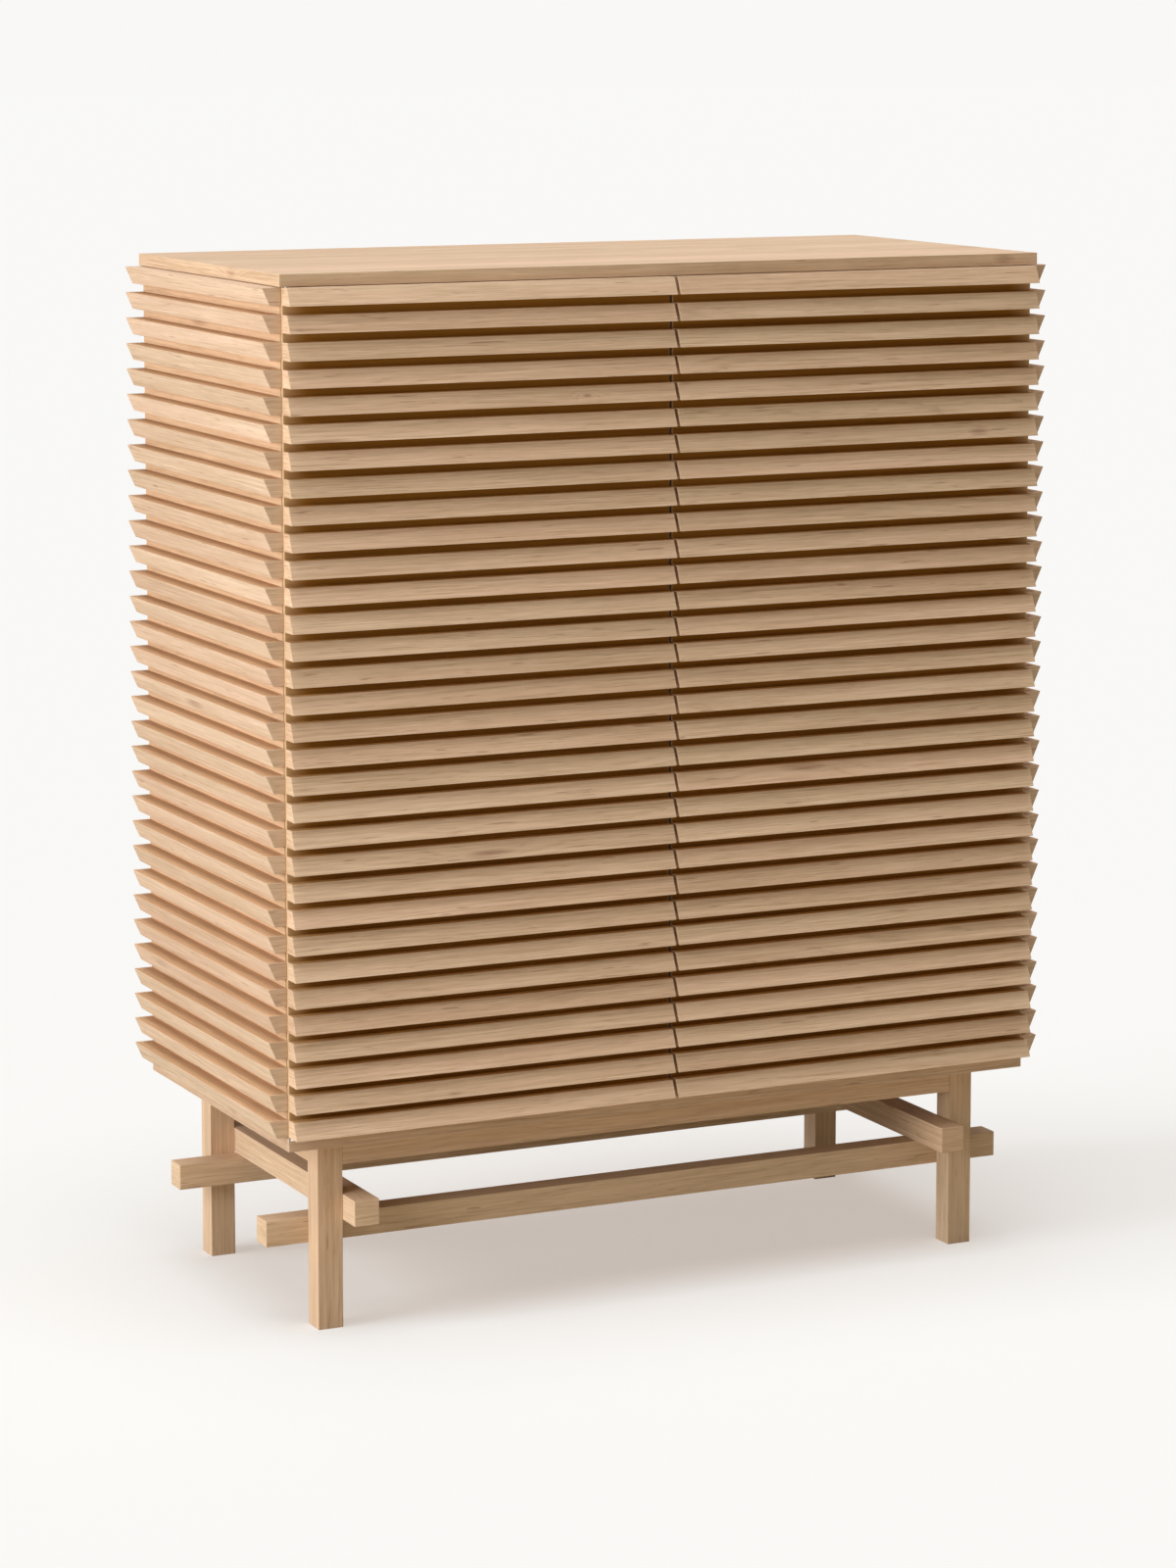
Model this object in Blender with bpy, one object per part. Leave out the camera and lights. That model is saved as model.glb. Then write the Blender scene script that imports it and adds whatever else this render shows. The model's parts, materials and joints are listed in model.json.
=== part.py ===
"""A two-door slatted oak highboard on a frame of square bars.

Metres, +Z up. The origin is on the floor, in the middle of the object's outline. The doors
face -Y, and left means -X. Every size that can be set by itself is a constant below, and
all other places are worked out from these.
"""

import math

import bmesh
import bpy
from mathutils import Matrix, Vector

# Clearance kept between pieces that touch
FIT = 0.0003

# Slats on the doors and on the sides, and the board that holds each set of them
SLAT_COUNT = 32
SLAT_HEIGHT = 0.020
SLAT_GAP = 0.010
SLAT_DEEP_EDGE = 0.0225
SLAT_SLIM_EDGE = 0.0135
SIDE_BOARD_THICKNESS = 0.003
DOOR_BOARD_THICKNESS = 0.005
SIDE_SLAT_SETBACK = 0.0025

# Case
CASE_WIDTH = 0.950
CASE_DEPTH = 0.4375
TOP_THICKNESS = 0.014
TOP_SIDE_OVERHANG = 0.005
TOP_FRONT_OVERHANG = 0.006
BOTTOM_THICKNESS = 0.016
SIDE_THICKNESS = 0.017
BACK_THICKNESS = 0.008
BACK_REBATE = 0.010
PARTITION_THICKNESS = 0.018
PARTITION_CLEARANCE = 0.001

# Doors
DOOR_PANEL_THICKNESS = 0.015
DOOR_PANEL_GAP = 0.003
DOOR_SLAT_GAP = 0.004
DOOR_CLEARANCE = 0.0008
DOOR_SIDE_CLEARANCE = 0.002

# Shelves and the pins under them
SHELF_COUNT = 2
SHELF_THICKNESS = 0.018
SHELF_SETBACK = 0.012
SHELF_CLEARANCE = 0.0008
PIN_INSET = 0.050
PIN_PEG_RADIUS = 0.0025
PIN_NOSE_RADIUS = 0.003
PIN_DEPTH = 0.0075
PIN_REACH = 0.008
PIN_HOLE_PITCH = 0.032
PIN_SPARE_HOLES = 1

# Frame of legs, aprons and beams
LEG_HEIGHT = 0.2197
LEG_SIDE = 0.030
LEG_INSET_SIDE = 0.0485
LEG_INSET_FRONT = 0.035
LEG_INSET_REAR = 0.035
APRON_HEIGHT = 0.030
APRON_THICKNESS = 0.030
TENON_THICKNESS = 0.010
MORTISE_WALL = 0.0009
BEAM_SIDE = 0.030
BEAM_DROP = 0.0347
LONG_BEAM_OVERHANG = 0.051
SIDE_BEAM_OVERHANG = 0.035

# Pivot hinges at the top and bottom edge of each door
HINGE_LEAF_THICKNESS = 0.002
HINGE_EYE_RADIUS = 0.003
HINGE_WALL = 0.0007
HINGE_PAD_HALF_WIDTH = 0.0045
HINGE_REACH = 0.045
HINGE_PIN_RADIUS = 0.0016
HINGE_PIN_ENGAGEMENT = 0.008
HINGE_SWEEP_CLEARANCE = 0.0005

# Magnetic catches and strike plates
CATCH_WIDTH = 0.036
CATCH_EAR = 0.012
CATCH_EAR_THICKNESS = 0.003
CATCH_HEIGHT = 0.014
CATCH_DEPTH = 0.015
CATCH_GAP = 0.0005
CATCH_FROM_CENTRE = 0.050
STRIKE_WIDTH = 0.036
STRIKE_HEIGHT = 0.010
STRIKE_THICKNESS = 0.0015
STRIKE_SCREW_INSET = 0.004

# Screw holes: head radius, head height, shank radius and length
HINGE_SCREW = (0.0028, 0.0014, 0.0015, 0.010)
BASE_SCREW = (0.0042, 0.0028, 0.0022, 0.028)
BACK_SCREW = (0.0032, 0.0020, 0.0016, 0.018)
CATCH_SCREW = (0.0030, 0.0016, 0.0015, 0.012)
STRIKE_SCREW = (0.0022, 0.0010, 0.0012, 0.009)
BASE_SCREW_IN_PANEL = 0.012
BACK_SCREW_ROWS = 4
BACK_SCREW_INSET = 0.060

# How far a cutter runs past the face that it opens in, and the sides of round shapes
OPENING = 0.002
HOLE_SIDES = 8
ROUND_SIDES = 12
PIVOT_SIDES = 16
EYE_STEPS = 8

# Heights
bottom_low = LEG_HEIGHT + FIT
bottom_high = bottom_low + BOTTOM_THICKNESS
slat_pitch = SLAT_HEIGHT + SLAT_GAP
door_low = bottom_high + DOOR_CLEARANCE
door_high = door_low + SLAT_COUNT * slat_pitch - SLAT_GAP
top_low = door_high + DOOR_CLEARANCE
top_high = top_low + TOP_THICKNESS
side_low = bottom_high + FIT
side_high = top_low - FIT

# Depths. The back plane of the door slats is the front of the case.
rear_y = (CASE_DEPTH + SLAT_DEEP_EDGE) / 2
face_y = rear_y - CASE_DEPTH
top_front_y = face_y - TOP_FRONT_OVERHANG
door_board_y = face_y + DOOR_BOARD_THICKNESS
side_slat_y = face_y + SIDE_SLAT_SETBACK
door_front_y = door_board_y + FIT
door_back_y = door_front_y + DOOR_PANEL_THICKNESS
back_front_y = rear_y - BACK_THICKNESS

# Widths, each measured from the middle
half_width = CASE_WIDTH / 2
door_end_x = half_width - FIT
side_board_x = half_width - SIDE_BOARD_THICKNESS
side_outer_x = side_board_x - FIT
side_inner_x = side_outer_x - SIDE_THICKNESS
door_outer_x = side_inner_x - DOOR_SIDE_CLEARANCE
rebate_x = side_inner_x + BACK_REBATE
partition_x = PARTITION_THICKNESS / 2

# Pivot axis of the doors, under the top panel's front edge, and the room that the door board's
# back corner needs as it swings
pivot_inset = HINGE_EYE_RADIUS + HINGE_WALL
pivot_x = door_end_x - pivot_inset
pivot_y = top_front_y + pivot_inset
swing_radius = math.hypot(pivot_inset, door_board_y - pivot_y)
side_front_y = pivot_y + swing_radius + HINGE_SWEEP_CLEARANCE
hinge_pad_y = (door_front_y + door_back_y) / 2

# Shelves
shelf_front_y = door_back_y + SHELF_SETBACK
shelf_rear_y = back_front_y - SHELF_CLEARANCE
shelf_room = top_low - bottom_high - SHELF_COUNT * SHELF_THICKNESS
shelf_pitch = shelf_room / (SHELF_COUNT + 1) + SHELF_THICKNESS

# Frame
leg_outer_x = half_width - LEG_INSET_SIDE
leg_inner_x = leg_outer_x - LEG_SIDE
front_leg_y = (face_y + LEG_INSET_FRONT, face_y + LEG_INSET_FRONT + LEG_SIDE)
rear_leg_y = (rear_y - LEG_INSET_REAR - LEG_SIDE, rear_y - LEG_INSET_REAR)
apron_low = LEG_HEIGHT - APRON_HEIGHT
tenon_middle = min(LEG_SIDE, APRON_THICKNESS) / 2
tenon_length = LEG_SIDE - tenon_middle - TENON_THICKNESS / 2 - MORTISE_WALL
side_beam_high = apron_low - BEAM_DROP
side_beam_low = side_beam_high - BEAM_SIDE
long_beam_high = side_beam_low - FIT
long_beam_low = long_beam_high - BEAM_SIDE

SIDES = {"left": -1, "right": 1}


def clear_scene():
    for obj in list(bpy.data.objects):
        bpy.data.objects.remove(obj, do_unlink=True)


def make_material(name, colour, roughness, metallic=0.0):
    material = bpy.data.materials.new(name)
    material.use_nodes = True
    shader = material.node_tree.nodes["Principled BSDF"]
    shader.inputs["Base Color"].default_value = (*colour, 1.0)
    shader.inputs["Roughness"].default_value = roughness
    shader.inputs["Metallic"].default_value = metallic
    return material


# Shapes, each added to a bmesh in world coordinates


def add_box(mesh, low, high):
    """A box from its lowest to its highest corner."""
    centre = (Vector(low) + Vector(high)) / 2
    size = Vector(high) - Vector(low)
    matrix = Matrix.Translation(centre) @ Matrix.Diagonal((*size, 1.0))
    bmesh.ops.create_cube(mesh, size=1.0, matrix=matrix)


def add_prism(mesh, outline, axis, start, end):
    """An outline in the plane across the axis, run from start to end along it."""
    ends = []
    for place in (start, end):
        corners = []
        for first, second in outline:
            point = [first, second]
            point.insert("XYZ".index(axis), place)
            corners.append(mesh.verts.new(point))
        ends.append(corners)
    mesh.faces.new(ends[0])
    mesh.faces.new(reversed(ends[1]))
    for index in range(len(outline)):
        after = (index + 1) % len(outline)
        mesh.faces.new((ends[0][index], ends[0][after], ends[1][after], ends[1][index]))


def add_turned(mesh, profile, foot, direction, sides):
    """A profile of (radius, distance) pairs turned about the line from foot along direction."""
    turn = Vector(direction).to_track_quat("Z", "Y").to_matrix().to_4x4()
    place = Matrix.Translation(Vector(foot)) @ turn
    rings = []
    for radius, distance in profile:
        if radius == 0:
            rings.append([mesh.verts.new(place @ Vector((0, 0, distance)))])
            continue
        ring = []
        for step in range(sides):
            angle = 2 * math.pi * (step + 0.5) / sides
            point = Vector((radius * math.cos(angle), radius * math.sin(angle), distance))
            ring.append(mesh.verts.new(place @ point))
        rings.append(ring)
    for before, after in zip(rings, rings[1:]):
        for step in range(sides):
            following = (step + 1) % sides
            corners = [before[step % len(before)], before[following % len(before)]]
            corners += [after[following % len(after)], after[step % len(after)]]
            mesh.faces.new(list(dict.fromkeys(corners)))


def add_rod(mesh, radius, foot, direction, length, sides=ROUND_SIDES):
    profile = [(0, 0), (radius, 0), (radius, length), (0, length)]
    add_turned(mesh, profile, foot, direction, sides)


# Objects


def add_object(name, mesh, material, pivot=None):
    """An object from a bmesh. Its origin is its own centre, or the axis of the pivot it turns on."""
    bmesh.ops.recalc_face_normals(mesh, faces=mesh.faces)
    if pivot:
        origin = pivot.location.copy()
    else:
        low = Vector(min(vert.co[axis] for vert in mesh.verts) for axis in range(3))
        high = Vector(max(vert.co[axis] for vert in mesh.verts) for axis in range(3))
        origin = (low + high) / 2
    mesh.transform(Matrix.Translation(-origin))
    data = bpy.data.meshes.new(name)
    mesh.to_mesh(data)
    mesh.free()
    data.materials.append(materials[material])
    obj = bpy.data.objects.new(name, data)
    bpy.context.scene.collection.objects.link(obj)
    if pivot:
        obj.parent = pivot
    else:
        obj.location = origin
    return obj


def box_object(name, low, high, material, pivot=None):
    mesh = bmesh.new()
    add_box(mesh, low, high)
    return add_object(name, mesh, material, pivot)


def add_pivot(name, place):
    pivot = bpy.data.objects.new(name, None)
    pivot.empty_display_size = 0.05
    pivot.location = place
    bpy.context.scene.collection.objects.link(pivot)
    return pivot


def cut(targets, name, mesh, pivot=None):
    """Cuts the bmesh out of each target, as a Boolean on a hidden cutter object."""
    cutter = add_object(name, mesh, "cutter", pivot)
    cutter.hide_render = True
    cutter.display_type = "WIRE"
    for target in targets:
        modifier = target.modifiers.new(name, "BOOLEAN")
        modifier.operation = "DIFFERENCE"
        modifier.solver = "EXACT"
        modifier.object = cutter


def cut_screw_holes(targets, name, places, screw, pivot=None, opening=OPENING):
    """Countersunk holes. A place is the middle of the head's face and the way the screw points."""
    head, head_height, shank, length = screw
    profile = [(0, -opening), (head, -opening), (head, 0), (shank, head_height)]
    profile += [(shank, length), (0, length)]
    mesh = bmesh.new()
    for foot, direction in places:
        add_turned(mesh, profile, foot, direction, HOLE_SIDES)
    cut(targets, name, mesh, pivot)


# Slat boards: a thin backing and its row of slats, as one comb-shaped section


def slat_comb(back, face, outward, low_edge, high_edge):
    """The section from the board's back, with each slat's front leaning from low_edge to high_edge."""
    comb = [(back, door_low)]
    for row in range(SLAT_COUNT):
        low = door_low + row * slat_pitch
        high = low + SLAT_HEIGHT
        comb += [(face + outward * low_edge, low), (face + outward * high_edge, high)]
        if row < SLAT_COUNT - 1:
            comb += [(face, high), (face, low + slat_pitch)]
    comb.append((back, door_high))
    return comb


def add_door_slat_board(name, side, pivot):
    """The board and its slats cover the front edge of the side panel."""
    ends = sorted((side * DOOR_SLAT_GAP / 2, side * door_end_x))
    comb = slat_comb(door_board_y, face_y, -1, SLAT_DEEP_EDGE, SLAT_SLIM_EDGE)
    mesh = bmesh.new()
    add_prism(mesh, comb, "X", *ends)
    return add_object(f"{name}_door_slat_board", mesh, "oak_slat", pivot)


def add_side_slat_board(name, side):
    """The slats run forward past the edge of their board, beside the end of the door board."""
    comb = slat_comb(
        side * side_board_x, side * half_width, side, SLAT_SLIM_EDGE, SLAT_DEEP_EDGE
    )
    mesh = bmesh.new()
    add_prism(mesh, comb, "Y", side_slat_y, rear_y)
    board = add_object(f"{name}_side_slat_board", mesh, "oak_slat")
    room = sorted((side * (side_board_x - OPENING), side * half_width))
    notch = bmesh.new()
    low = (room[0], face_y - OPENING, door_low - OPENING)
    high = (room[1], side_front_y, door_high + OPENING)
    add_box(notch, low, high)
    cut([board], f"{name}_side_slat_board_notch", notch)


# Hinge leaves: outlines seen from above, measured from the pivot, x towards the middle of the
# case and y towards the back. The same outline with room added cuts the pocket.


def arc(centre, radius, start, end):
    points = []
    for step in range(EYE_STEPS + 1):
        angle = math.radians(start + (end - start) * step / EYE_STEPS)
        x = centre[0] + radius * math.cos(angle)
        y = centre[1] + radius * math.sin(angle)
        points.append((x, y))
    return points


def case_leaf_outline(room=0.0):
    """An eye in front, an arm back past the case's front, and a pad that takes the screws."""
    eye = HINGE_EYE_RADIUS + room
    pad = HINGE_PAD_HALF_WIDTH + room
    pad_y = hinge_pad_y - pivot_y
    pad_end = HINGE_REACH - HINGE_PAD_HALF_WIDTH
    outline = arc((0, 0), eye, 180, 360)
    outline.append((eye, pad_y - pad))
    outline += arc((pad_end, pad_y), pad, -90, 90)
    outline.append((-eye, pad_y + pad))
    return outline


def door_leaf_outline(room=0.0):
    """An eye and an arm in the slat's thickness, and a pad in the edge of the door panel."""
    eye = HINGE_EYE_RADIUS + room
    pad_start = pivot_x - door_outer_x + HINGE_WALL - room
    pad_back = hinge_pad_y - pivot_y + HINGE_PAD_HALF_WIDTH + room
    end = HINGE_REACH + room
    outline = arc((0, 0), eye, 90, 270)
    outline += [(end, -eye), (end, pad_back), (pad_start, pad_back), (pad_start, eye)]
    return outline


def hinge_prism(mesh, outline, side, low, high):
    shape = [(side * (pivot_x - x), pivot_y + y) for x, y in outline]
    add_prism(mesh, shape, "Z", low, high)


def hinge_screw_places(side, height, way):
    """Two screws along the pad, clear of the side panel and in the door panel's edge."""
    first_x = pivot_x - door_outer_x + HINGE_WALL + HINGE_PAD_HALF_WIDTH
    last_x = HINGE_REACH - HINGE_PAD_HALF_WIDTH
    places = []
    for x in (first_x, last_x):
        places.append(((side * (pivot_x - x), hinge_pad_y, height), (0, 0, way)))
    return places


def hinge_pin_span(end):
    """The pin's lowest and highest point, from the case leaf's far face into the door."""
    if end == "upper":
        return door_high - HINGE_PIN_ENGAGEMENT, top_low + HINGE_LEAF_THICKNESS
    return bottom_high - HINGE_LEAF_THICKNESS, door_low + HINGE_PIN_ENGAGEMENT


def add_hinge_pin_shape(mesh, side, end, room=0.0):
    low, high = hinge_pin_span(end)
    foot = (side * pivot_x, pivot_y, low - room)
    length = high - low + 2 * room
    add_rod(mesh, HINGE_PIN_RADIUS + room, foot, (0, 0, 1), length, PIVOT_SIDES)


def add_hinge_leaf(name, outline, side, end, face, way, wood, pivot=None):
    """A leaf let into the wood's face, its pocket, its pin hole and its screw holes.

    The face is the height of the wood's surface, and way points from there into the wood.
    """
    floor = face + way * HINGE_LEAF_THICKNESS
    mesh = bmesh.new()
    hinge_prism(mesh, outline(), side, *sorted((face, floor)))
    leaf = add_object(name, mesh, "steel", pivot)
    pocket = bmesh.new()
    hinge_prism(pocket, outline(FIT), side, *sorted((face - way * OPENING, floor + way * FIT)))
    cut(wood, f"{name}_pocket", pocket, pivot)
    pin_hole = bmesh.new()
    add_hinge_pin_shape(pin_hole, side, end, FIT)
    holed = [leaf, wood[0]] if pivot else [leaf]
    cut(holed, f"{name}_pin_hole", pin_hole, pivot)
    places = hinge_screw_places(side, face, way)
    cut_screw_holes([leaf, wood[-1]], f"{name}_screw_holes", places, HINGE_SCREW, pivot)


# Case


def add_side_panel(name, side):
    """A panel with a rebate behind for the back panel."""
    outline = [
        (side_inner_x, side_front_y),
        (side_outer_x, side_front_y),
        (side_outer_x, rear_y),
        (rebate_x, rear_y),
        (rebate_x, back_front_y - FIT),
        (side_inner_x, back_front_y - FIT),
    ]
    mesh = bmesh.new()
    add_prism(mesh, [(side * x, y) for x, y in outline], "Z", side_low, side_high)
    return add_object(f"{name}_side_panel", mesh, "oak_panel")


def back_screw_places():
    """Columns of screws through the back panel into the side panels and the partition."""
    column_x = (side_inner_x + rebate_x) / 2
    first = side_low + BACK_SCREW_INSET
    step = (side_high - side_low - 2 * BACK_SCREW_INSET) / (BACK_SCREW_ROWS - 1)
    places = []
    for x in (-column_x, 0, column_x):
        for row in range(BACK_SCREW_ROWS):
            places.append(((x, rear_y, first + row * step), (0, -1, 0)))
    return places


def shelf_pin_places(side, shelf_low):
    """For each corner of a shelf, its name, a point on the wall and the way out of the wall."""
    height = shelf_low - FIT - PIN_NOSE_RADIUS
    walls = {"outer": (side * side_inner_x, -side), "inner": (side * partition_x, side)}
    rows = {"front": shelf_front_y + PIN_INSET, "rear": shelf_rear_y - PIN_INSET}
    places = []
    for wall, (x, way) in walls.items():
        for row, y in rows.items():
            places.append((f"{wall}_{row}", Vector((x, y, height)), Vector((way, 0, 0))))
    return places


def add_shelf_pin(name, foot, direction):
    profile = [
        (0, -PIN_DEPTH),
        (PIN_PEG_RADIUS, -PIN_DEPTH),
        (PIN_PEG_RADIUS, FIT),
        (PIN_NOSE_RADIUS, FIT),
        (PIN_NOSE_RADIUS, PIN_REACH),
        (0, PIN_REACH),
    ]
    mesh = bmesh.new()
    add_turned(mesh, profile, foot, direction, ROUND_SIDES)
    add_object(name, mesh, "steel")


def add_shelves(name, side, walls):
    """The shelves, their pins, and each pin's hole with spare holes above and below it."""
    reach = (side * (partition_x + SHELF_CLEARANCE), side * (side_inner_x - SHELF_CLEARANCE))
    holes = bmesh.new()
    depth = PIN_DEPTH + FIT
    for number in range(1, SHELF_COUNT + 1):
        low = bottom_high + number * shelf_pitch - SHELF_THICKNESS
        corner_low = (min(reach), shelf_front_y, low)
        corner_high = (max(reach), shelf_rear_y, low + SHELF_THICKNESS)
        box_object(f"{name}_shelf_{number}", corner_low, corner_high, "oak_panel")
        for corner, foot, direction in shelf_pin_places(side, low):
            add_shelf_pin(f"{name}_shelf_{number}_pin_{corner}", foot, direction)
            for spare in range(-PIN_SPARE_HOLES, PIN_SPARE_HOLES + 1):
                start = foot - direction * depth + Vector((0, 0, spare * PIN_HOLE_PITCH))
                add_rod(holes, PIN_PEG_RADIUS + FIT, start, direction, depth + OPENING)
    cut(walls, f"{name}_shelf_pin_holes", holes)


def add_case():
    side_reach = half_width + TOP_SIDE_OVERHANG
    back_reach = rebate_x - FIT
    top = box_object(
        "top_panel",
        (-side_reach, top_front_y, top_low),
        (side_reach, rear_y, top_high),
        "oak_panel",
    )
    bottom = box_object(
        "bottom_panel",
        (-half_width, face_y, bottom_low),
        (half_width, rear_y, bottom_high),
        "oak_panel",
    )
    back = box_object(
        "back_panel",
        (-back_reach, back_front_y, side_low),
        (back_reach, rear_y, side_high),
        "oak_panel",
    )
    partition = box_object(
        "centre_partition",
        (-partition_x, door_back_y + PARTITION_CLEARANCE, side_low),
        (partition_x, back_front_y - FIT, side_high),
        "oak_panel",
    )
    panels = {}
    for name, side in SIDES.items():
        panels[name] = add_side_panel(name, side)
        add_side_slat_board(name, side)
        add_shelves(name, side, [panels[name], partition])
    uprights = [*panels.values(), partition]
    cut_screw_holes([back, *uprights], "back_screw_holes", back_screw_places(), BACK_SCREW)
    return top, bottom


def add_case_hinges(top, bottom):
    """The case's leaves, let into the top and bottom panels, and the pins in their eyes."""
    faces = {"upper": (top_low, 1, top), "lower": (bottom_high, -1, bottom)}
    for name, side in SIDES.items():
        for end, (face, way, wood) in faces.items():
            leaf_name = f"{name}_{end}_case_leaf"
            add_hinge_leaf(leaf_name, case_leaf_outline, side, end, face, way, [wood])
            pin = bmesh.new()
            add_hinge_pin_shape(pin, side, end)
            add_object(f"{name}_{end}_hinge_pin", pin, "steel")


def add_catches(top):
    """A magnetic catch under the top panel for each door, screwed up through its two ears."""
    high = top_low - FIT
    ear_low = high - CATCH_EAR_THICKNESS
    low = high - CATCH_HEIGHT
    front = door_back_y + CATCH_GAP
    half = CATCH_WIDTH / 2
    reach = half + CATCH_EAR
    for name, side in SIDES.items():
        x = side * CATCH_FROM_CENTRE
        outline = [
            (x - reach, high),
            (x + reach, high),
            (x + reach, ear_low),
            (x + half, ear_low),
            (x + half, low),
            (x - half, low),
            (x - half, ear_low),
            (x - reach, ear_low),
        ]
        mesh = bmesh.new()
        add_prism(mesh, outline, "Y", front, front + CATCH_DEPTH)
        body = add_object(f"{name}_magnetic_catch", mesh, "plastic")
        places = []
        for way in (-1, 1):
            place = (x + way * (half + CATCH_EAR / 2), front + CATCH_DEPTH / 2, ear_low)
            places.append((place, (0, 0, 1)))
        cut_screw_holes([body, top], f"{name}_catch_screw_holes", places, CATCH_SCREW)


# Doors


def add_strike_plate(name, side, panel, pivot):
    """A steel plate let into the back of the door panel, opposite the catch's magnet."""
    high = top_low - FIT - CATCH_EAR_THICKNESS
    low = top_low - FIT - CATCH_HEIGHT
    middle = (high + low) / 2
    x = side * CATCH_FROM_CENTRE
    front = door_back_y - STRIKE_THICKNESS
    half = STRIKE_WIDTH / 2
    up = STRIKE_HEIGHT / 2
    plate = box_object(
        f"{name}_strike_plate",
        (x - half, front, middle - up),
        (x + half, door_back_y, middle + up),
        "steel",
        pivot,
    )
    pocket = bmesh.new()
    add_box(
        pocket,
        (x - half - FIT, front - FIT, middle - up - FIT),
        (x + half + FIT, door_back_y + OPENING, middle + up + FIT),
    )
    cut([panel], f"{name}_strike_pocket", pocket, pivot)
    places = []
    for way in (-1, 1):
        place = (x + way * (half - STRIKE_SCREW_INSET), door_back_y, middle)
        places.append((place, (0, -1, 0)))
    cut_screw_holes([plate, panel], f"{name}_strike_screw_holes", places, STRIKE_SCREW, pivot)


def add_door(name, side):
    pivot = add_pivot(f"{name}_door_pivot", (side * pivot_x, pivot_y, door_low))
    across = sorted((side * DOOR_PANEL_GAP / 2, side * door_outer_x))
    panel = box_object(
        f"{name}_door_panel",
        (across[0], door_front_y, door_low),
        (across[1], door_back_y, door_high),
        "oak_panel",
        pivot,
    )
    board = add_door_slat_board(name, side, pivot)
    for end, face, way in (("upper", door_high, -1), ("lower", door_low, 1)):
        leaf_name = f"{name}_{end}_door_leaf"
        wood = [board, panel]
        add_hinge_leaf(leaf_name, door_leaf_outline, side, end, face, way, wood, pivot)
    add_strike_plate(name, side, panel, pivot)


# Frame under the case


def add_leg(name, across, along, side, inward):
    """A leg with two mortises in its top, one for each apron's tenon."""
    leg = box_object(name, (across[0], along[0], 0), (across[1], along[1], LEG_HEIGHT), "oak_frame")
    outer_x = side * leg_outer_x
    inner_x = side * leg_inner_x
    outer_y, inner_y = along if inward == 1 else reversed(along)
    middle_x = outer_x - side * tenon_middle
    middle_y = outer_y + inward * tenon_middle
    half = TENON_THICKNESS / 2 + FIT
    depth = tenon_length + FIT
    low_z = apron_low - FIT
    high_z = LEG_HEIGHT + OPENING
    x_ends = sorted((inner_x + side * depth, inner_x - side * OPENING))
    y_ends = sorted((inner_y - inward * depth, inner_y + inward * OPENING))
    mortises = bmesh.new()
    add_box(mortises, (x_ends[0], middle_y - half, low_z), (x_ends[1], middle_y + half, high_z))
    add_box(mortises, (middle_x - half, y_ends[0], low_z), (middle_x + half, y_ends[1], high_z))
    cut([leg], f"{name}_mortises", mortises)


def apron_outline(start, end, outer, inward):
    """A bar seen from above, from start to end, with a tenon at each end."""
    inner = outer + inward * APRON_THICKNESS
    middle = outer + inward * tenon_middle
    near = middle - inward * TENON_THICKNESS / 2
    far = middle + inward * TENON_THICKNESS / 2
    tip_start = start - tenon_length
    tip_end = end + tenon_length
    return [
        (start, outer),
        (end, outer),
        (end, near),
        (tip_end, near),
        (tip_end, far),
        (end, far),
        (end, inner),
        (start, inner),
        (start, far),
        (tip_start, far),
        (tip_start, near),
        (start, near),
    ]


def base_screw_places():
    """Screws up through the aprons into the bottom panel, their heads sunk in deep bores."""
    head_z = bottom_low + BASE_SCREW_IN_PANEL - BASE_SCREW[3]
    reach_x = leg_inner_x / 2
    front = front_leg_y[0] + APRON_THICKNESS / 2
    rear = rear_leg_y[1] - APRON_THICKNESS / 2
    side_x = leg_outer_x - APRON_THICKNESS / 2
    reach_y = (rear_leg_y[0] - front_leg_y[1]) / 4
    middle_y = (rear_leg_y[0] + front_leg_y[1]) / 2
    spots = [(x, y) for y in (front, rear) for x in (-reach_x, 0, reach_x)]
    spots += [(side * side_x, middle_y + way * reach_y) for side in (-1, 1) for way in (-1, 1)]
    return [((x, y, head_z), (0, 0, 1)) for x, y in spots]


def add_apron(name, outline):
    mesh = bmesh.new()
    add_prism(mesh, outline, "Z", apron_low, LEG_HEIGHT)
    return add_object(f"{name}_apron", mesh, "oak_frame")


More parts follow.
